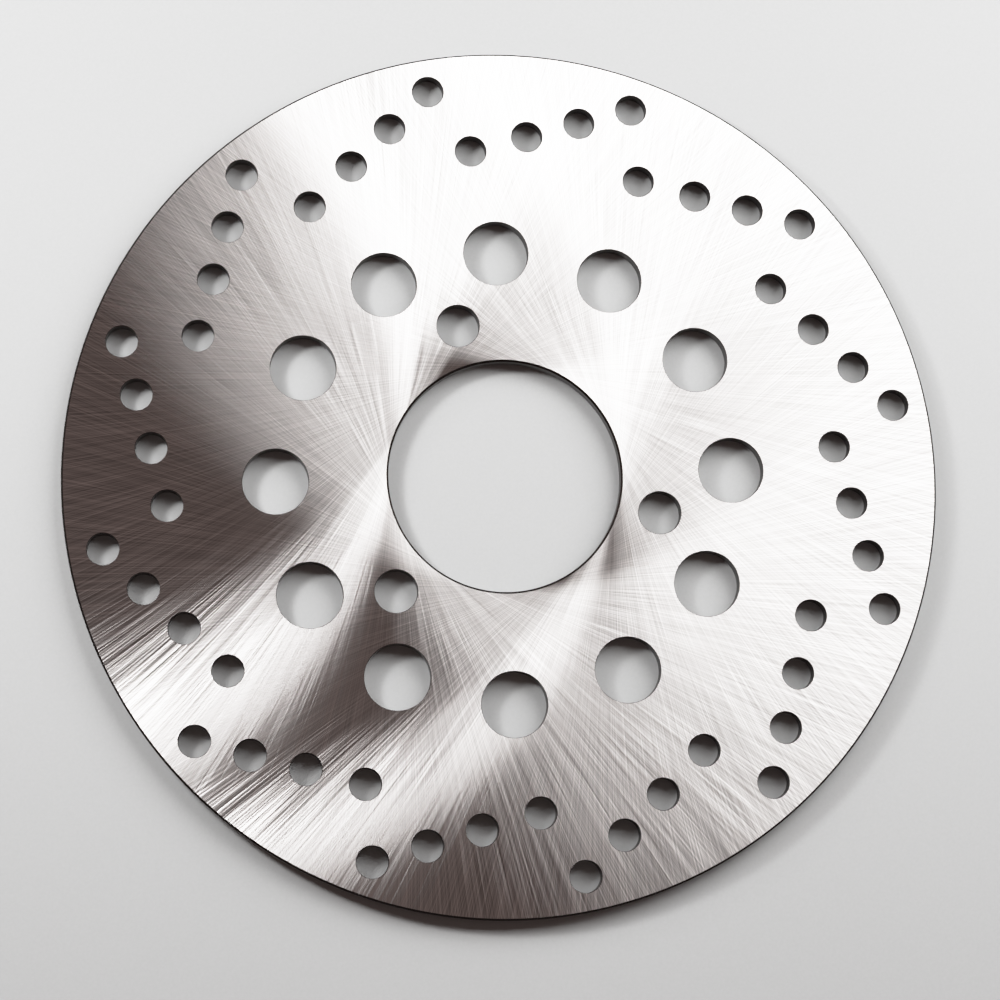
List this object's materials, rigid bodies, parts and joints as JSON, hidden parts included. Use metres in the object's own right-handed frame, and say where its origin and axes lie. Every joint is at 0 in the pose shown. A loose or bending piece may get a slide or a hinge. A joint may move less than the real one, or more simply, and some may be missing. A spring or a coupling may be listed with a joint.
{
  "type": "brake disc rotor",
  "caption": "Flat one-piece motorcycle brake disc with a round hub bore, mounting holes, large lightening holes and swept rows of small drillings, ground on both faces.",
  "frame": {"origin": "centre of the hub bore on the hub-side face of the disc", "axes": "+Z along the spin axis, away from the wheel hub, to the outboard face; +Y through the centre of one lightening hole; +X completes the right-handed frame"},
  "size_m": [0.22, 0.22, 0.004],
  "materials": {
    "ground_steel": "rotary-ground stainless steel, satin, with crossing arcs of fine grinding lines on both faces; plain cut walls in the holes and round the rim"
  },
  "bodies": {
    "root": {"rotor_disc": "ground_steel"}
  },
  "joints": []
}
